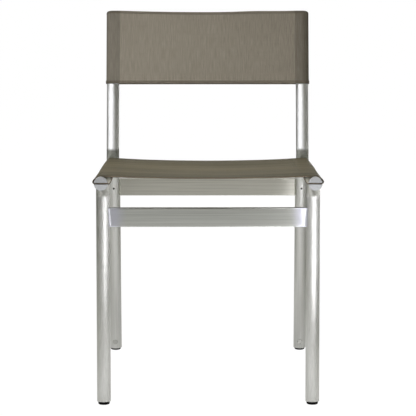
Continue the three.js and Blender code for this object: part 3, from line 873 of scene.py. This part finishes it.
def panelEdge():
    end = chair["half"] - edgeCords["hemEnd"]
    steps = seat["panelSteps"]
    line = []
    for i in range(steps + 1):
        radius = min(edgeCords["hem"], edgeCords["start"] + edgeCords["hemTaper"] * min(i, steps - i))
        line.append((-end + 2 * end * i / steps, seatTop - edgeCords["hemDrop"], radius))
    return line


def cord(name, lines, material):  # round cords just inside the seat's front edge
    points, faces = [], []
    sides = edgeCords["sides"]
    for line in lines:
        start = len(points)
        for i, (x, z, radius) in enumerate(line):
            before, after = line[max(i - 1, 0)], line[min(i + 1, len(line) - 1)]
            runX, runZ = after[0] - before[0], after[1] - before[1]
            for k in range(sides):
                angle = 2 * math.pi * k / sides
                out = radius * math.cos(angle) / math.hypot(runX, runZ)
                y = seat["front"] + edgeCords["inward"] + radius * math.sin(angle)
                points.append(seatPoint(x - out * runZ, z + out * runX, y))
        for i in range(len(line) - 1):
            for k in range(sides):
                a, b = start + i * sides + k, start + i * sides + (k + 1) % sides
                faces.append((a, b, b + sides, a + sides))
        faces.append(tuple(range(start, start + sides)))
        faces.append(tuple(range(len(points) - sides, len(points))))
    mesh = bpy.data.meshes.new(name)
    mesh.from_pydata(points, [], faces)
    shape = bmesh.new()
    shape.from_mesh(mesh)
    bmesh.ops.recalc_face_normals(shape, faces=shape.faces)
    shape.to_mesh(mesh)
    shape.free()
    mesh.materials.append(materials[material])
    mesh.shade_smooth()
    piece = link(bpy.data.objects.new(name, mesh))
    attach(piece, "root")
    return piece


sleeveEnd = sleeveEdge()
sleeveEdgeCord = cord("sleeveEdgeCord", [sleeveEnd, [(-x, z, radius) for x, z, radius in sleeveEnd]], "edgeCords")
seatHem = cord("seatHem", [panelEdge()], "hem")
seatPiece, seatWidth = makeSeat()
seatLines = [
    seatLine(side * (chair["half"] - seat["seam"] - inset), lift)
    for side in (-1, 1) for inset in seat["stitchRows"] for lift in (seat["wall"] / 2, seat["stitchUnder"])
]
seatStitches = stitches("seatStitches", seatLines)
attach(seatPiece, "root")
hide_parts("seat_sling")
print("seat sling made")


# Back sling: a bag round both uprights, closed above and hemmed below
back = {
    "wall": 0.001,
    "inner": 0.01435,  # from an upright's axis to the fabric
    "top": 0.3466,
    "bottom": 0.18305,
    "hem": 0.0062,
    "hemLayers": (0.00055, 0.0016),  # out from the fabric
    "hemRows": 9,
    "hemRow": 0.0006,
    "hemFold": 0.0005,  # the fold's middle stands this much higher than its radius
    "hemFace": (0.002, 0.0032, 0.0044, 0.0056),  # up from the bottom, as all that follow
    "hemShoulder": ((0.00095, 0.0066), (0.0006, 0.0074), (0.0001, 0.0086)),  # out from the inner layer, up
    "hemEnd": 0.0096,
    "topEdge": 0.0042,  # radius of the closed top's edges
    "topHem": 0.0192,  # from the middle of the closed top down to the hem's lower edge
    "topSag": 0.003,
    "taut": 0.0015,  # the top edge is tighter on one side
    "tautPlace": 0.105,
    "tautWidth": 0.05,
    "frontDrop": 0.003,  # the front hangs lower than the rear
    "beside": 0.0018,  # where the fabric leaves a tube, counted from the tube's side
    "draw": 0.002,  # each panel draws in by this at its middle
    "arcSteps": 20,
    "foldSteps": 6,
    "panelSteps": 80,
    "heightSteps": 46,
    "lowStitches": (0.0022, 0.0055),  # out from the fabric, up from the bottom
    "topStitches": (0.00115, 0.0062),  # out from the fabric, down from the top
}
backFinish = {
    **meshFinish, "pitch": 0.0012, "yarn": 0.62, "drift": 1.6, "rough": 0.45, "gloss": 0.3,
    "shut": 0.75,  # share of the gaps that is closed
    "dark": (116, 108, 94), "light": (173, 165, 150),
    "lowerHemPaintedShade": 0.55, "upperHemPaintedShade": 0.6, "doubleEdge": 0.0004,
    "tubesPaintedShade": 0.3, "tubesSoft": 0.0004,
    "streaks": (((500, 34, 1), 0.85), ((14, 10, 1), 0.12)),
    "sheenAcross": 0.27, "sheenAlong": (0.03, 0.15, 0.12),
}


def backOutline(radius, drawShare):
    half = chair["half"]
    points = []
    for side in (1, -1):
        for share in shares(back["arcSteps"]):
            angle = math.pi * share - side * math.pi / 2
            points.append((side * half + radius * math.cos(angle), radius * math.sin(angle)))
        for i in range(1, back["panelSteps"]):
            x = side * (half - 2 * half * i / back["panelSteps"])
            points.append((x, side * (radius - back["draw"] * drawShare * sagShare(x))))
    return points


def backProfile():  # (distance from the upright's axis, height), from inside the hem to the top seam
    bottom, edge = back["bottom"], back["topEdge"]
    near, far = [back["inner"] + layer for layer in back["hemLayers"]]
    profile = [(near, bottom + back["hem"] - back["hemRow"] * i) for i in range(back["hemRows"] + 1)]
    fold = (far - near) / 2
    foldHeight = bottom + fold + back["hemFold"]
    for share in shares(back["foldSteps"]):
        angle = math.pi * share
        profile.append((near + fold - fold * math.cos(angle), foldHeight - fold * math.sin(angle)))
    profile += [(far, bottom + up) for up in back["hemFace"]]
    profile += [(near + out, bottom + up) for out, up in back["hemShoulder"]]
    start = bottom + back["hemEnd"]
    end = back["top"] - back["wall"] / 2 - edge
    profile += [(near, start + (end - start) * share) for share in shares(back["heightSteps"])]
    for share in shares(back["foldSteps"], 1):
        angle = math.pi / 2 * share
        profile.append((near - edge * (1 - math.cos(angle)), end + edge * math.sin(angle)))
    radius, height = profile[-1]
    profile += [(radius * (1 - share), height) for share in shares(back["foldSteps"], 1)]
    return profile


def backPoint(x, y, z):
    upper = min(1.0, max(0.0, (z - back["bottom"]) / (back["top"] - back["bottom"])))
    taut = math.exp(-((x - back["tautPlace"]) / back["tautWidth"]) ** 2)
    z -= (back["topSag"] * sagShare(x) - back["taut"] * taut) * upper ** 2
    z -= back["frontDrop"] * (1 - upper) * (0.5 - y / (2 * back["inner"]))
    return backPlace @ Vector((x, y, z))


def makeBack():
    profile = backProfile()
    heights = lengths([(radius, z, 0) for radius, z in profile])
    folded = back["hemRows"] + back["foldSteps"] + 2  # points before the hem's face
    hemTop = back["bottom"] + back["hem"]
    hemEnd = next(v for v, (radius, z) in zip(heights[folded:], profile[folded:]) if z > hemTop)
    whole = backOutline(back["inner"], 1)
    around = lengths([(x, y, 0) for x, y in whole + whole[:1]])
    rows, flat = [], []
    for (radius, z), v in zip(profile, heights):
        drawShare = min(1, radius / back["inner"])
        rows.append([backPoint(x, y, z) for x, y in backOutline(radius, drawShare)])
        flat.append([(u, v) for u in around])
    quarter = math.pi * back["inner"] / 2
    width = 2 * chair["half"]
    material = meshFabric("backMesh", {
        **backFinish,
        "tubes": (quarter, around[-1] / 2, quarter + chair["tube"] + back["beside"]),
        "double": (hemEnd, heights[-1] - back["topHem"], backFinish["doubleEdge"]),
        "sheen": ((around[-1] - width, width, backFinish["sheenAcross"]), backFinish["sheenAlong"]),
    })
    piece = clothMesh("backSling", rows, flat, material, back["wall"], closed=True)
    return piece, around[-1], heights[-1]


def backRing(lift, z):
    outline = backOutline(back["inner"] + lift, 1)
    return [backPoint(x, y, z) for x, y in outline + outline[:1]]


backPiece, backAround, backHeight = makeBack()
lowOut, lowUp = back["lowStitches"]
topOut, topDown = back["topStitches"]
backLines = [backRing(lowOut, back["bottom"] + lowUp), backRing(topOut, back["top"] - topDown)]
backStitches = stitches("backStitches", backLines)
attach(backPiece, "root")
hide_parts("back_sling")
print("back sling made")


# Floor and surroundings
studio = {
    "floorSize": 30,
    "floorColour": (0.56, 0.56, 0.52, 1),
    "floorRough": 0.6,
    "floorGloss": 0.2,
    "floorWhite": 1.07,  # the floor as the camera sees it
    "floorSeen": 0.93,  # share of that white; the rest is the lit floor with its shadow
    "floorMirrored": 0.82,  # share of it in the metal, less with distance, to the sides and behind
    "floorReach": (1.1, 3.4),
    "floorAside": (0.24, 0.9),
    "floorBehind": (-0.5, -0.3),
    "floorBehindShare": 0.45,
    "walls": (0.096, 0.097, 0.072, 1),
    "white": (1, 1, 1, 1),
    "wallBehind": (0.9, 1.0),  # the white wall behind the chair, as the y of a direction
}


def floor():
    mesh = bpy.data.meshes.new("floor")
    size = studio["floorSize"]
    corners = [(-size, -size, 0), (size, -size, 0), (size, size, 0), (-size, size, 0)]
    mesh.from_pydata(corners, [], [(0, 1, 2, 3)])
    piece = link(bpy.data.objects.new("floor", mesh))
    material, paint, shader = newMaterial("floorPaint")
    shader.inputs["Base Color"].default_value = studio["floorColour"]
    shader.inputs["Roughness"].default_value = studio["floorRough"]
    shader.inputs["Specular IOR Level"].default_value = studio["floorGloss"]
    ray = paint.node("ShaderNodeLightPath")
    white = paint.node("ShaderNodeEmission", {}, {"Color": studio["white"], "Strength": studio["floorWhite"]})
    place = paint.value("ShaderNodeTexCoord", output="Object")
    reach = paint.value("ShaderNodeVectorMath", {"operation": "LENGTH"}, {0: place}, "Value")
    aside, behind = paint.axes(place)[:2]
    near = paint.ranged(reach, *studio["floorReach"], studio["floorMirrored"], 0.0)
    near = near * paint.ranged(aside.maths("ABSOLUTE"), *studio["floorAside"], 1.0, 0.0)
    near = near * paint.ranged(behind, *studio["floorBehind"], 1.0, studio["floorBehindShare"])
    seen = Value(ray.outputs["Is Camera Ray"]) * studio["floorSeen"]
    mirrored = Value(ray.outputs["Is Glossy Ray"]) * near
    mix = paint.node("ShaderNodeMixShader", {}, {
        0: seen + mirrored, 1: shader.outputs[0], 2: white.outputs[0],
    })
    feed(paint.end.inputs["Surface"], mix.outputs[0])
    mesh.materials.append(material)


def surroundings():
    world = bpy.data.worlds.new("surroundings")
    scene.world = world
    world.use_nodes = True
    world.node_tree.nodes.clear()
    sky = Tree(world.node_tree)
    ray = sky.node("ShaderNodeLightPath")
    direction = sky.axes(sky.value("ShaderNodeTexCoord", output="Generated"))
    behind = sky.ranged(direction[1], *studio["wallBehind"], 0.0, 1.0)
    walls = sky.node("ShaderNodeBackground", {}, {"Color": studio["walls"], "Strength": 1.0})
    white = sky.node("ShaderNodeBackground", {}, {"Color": studio["white"], "Strength": 1.0})
    seen = Value(ray.outputs["Is Camera Ray"]) + Value(ray.outputs["Is Glossy Ray"]) * behind
    both = sky.node("ShaderNodeMixShader", {}, {0: seen, 1: walls.outputs[0], 2: white.outputs[0]})
    sky.node("ShaderNodeOutputWorld", {}, {"Surface": both.outputs[0]})


# Lights
softboxes = {
    "softboxRight": {
        "size": (0.28, 0.68), "radiance": 9.0, "colour": (0.965, 0.96, 1),
        "place": (0.46, -1.08, 0.43), "target": (0.15, -0.2, 0.43),
    },
    "softboxLeft": {
        "size": (1.0, 0.9), "radiance": 7.4, "colour": (0.92, 0.925, 1),
        "place": (-1.86, -2.05, 1.55), "target": (0.0, 0.2, 0.6),
    },
    "softboxSide": {
        "size": (0.8, 0.7), "radiance": 2.4, "colour": (0.93, 0.935, 1),
        "place": (-2.4, 0.45, 1.0), "target": (0.0, 0.2, 0.65),
    },
    "softboxRear": {
        "size": (1.6, 1.4), "radiance": 2.0, "colour": (1, 1, 0.98),
        "place": (0.6, 2.2, 3.2), "target": (0.0, 0.1, 0.5),
    },
    "softboxBehind": {
        "size": (1.8, 0.4), "radiance": 4.5, "colour": (1, 1, 0.98),
        "place": (0.7, 2.8, 0.22), "target": (0.0, 0.2, 0.6),
    },
    "softboxFar": {
        "size": (2.0, 1.0), "radiance": 0.5, "colour": (1, 1, 0.97),
        "place": (1.6, -2.4, 1.75), "target": (0.0, 0.2, 0.65),
    },
    "softboxTop": {
        "size": (2.4, 2.0), "radiance": 1.0, "colour": (1, 1, 0.98),
        "place": (0.0, -0.5, 2.7), "target": (0.0, -0.3, 0),
    },
    "softboxFront": {
        "size": (1.6, 1.0), "radiance": 3.2, "colour": (1, 1, 0.99),
        "place": (-1.5, -1.3, 2.1), "target": (0.0, 0.0, 0.5),
    },
}


def softbox(name, settings):
    data = bpy.data.lights.new(name, "AREA")
    data.shape = "RECTANGLE"
    data.size, data.size_y = settings["size"]
    data.energy = settings["radiance"] * math.pi * data.size * data.size_y
    data.color = settings["colour"]
    lamp = link(bpy.data.objects.new(name, data))
    lamp.visible_camera = False
    place, target = Vector(settings["place"]), Vector(settings["target"])
    turn = (target - place).to_track_quat("-Z", "Y").to_matrix().to_4x4()
    lamp.matrix_world = Matrix.Translation(place) @ turn


floor()
surroundings()
for name, settings in softboxes.items():
    softbox(name, settings)
print("stage and lights made")
